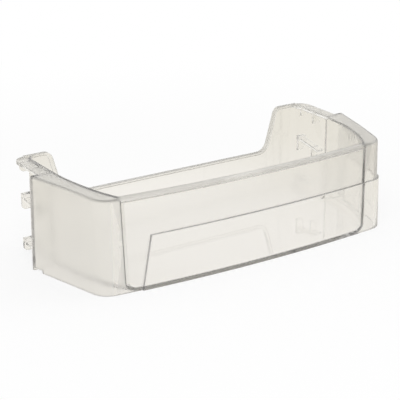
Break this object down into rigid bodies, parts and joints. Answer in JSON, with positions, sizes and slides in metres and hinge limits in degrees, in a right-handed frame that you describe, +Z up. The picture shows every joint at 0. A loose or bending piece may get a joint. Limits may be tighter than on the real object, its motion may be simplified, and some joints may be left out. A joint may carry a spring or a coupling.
{
  "type": "refrigerator door shelf",
  "caption": "Clear moulded refrigerator door shelf: open bin with a bowed front, flared side wings, a low back between raised ears, and bracketed ends that hang in the door.",
  "frame": {"origin": "middle of the overall box in plan, on the plane that the shelf stands on", "axes": "+X along the shelf to the right seen from the front, +Y towards the door, +Z up"},
  "size_m": [0.402, 0.1742, 0.1015],
  "materials": {
    "clear_plastic": "clear, partly frosted"
  },
  "bodies": {
    "root": {"door_shelf": "clear_plastic"}
  },
  "joints": []
}
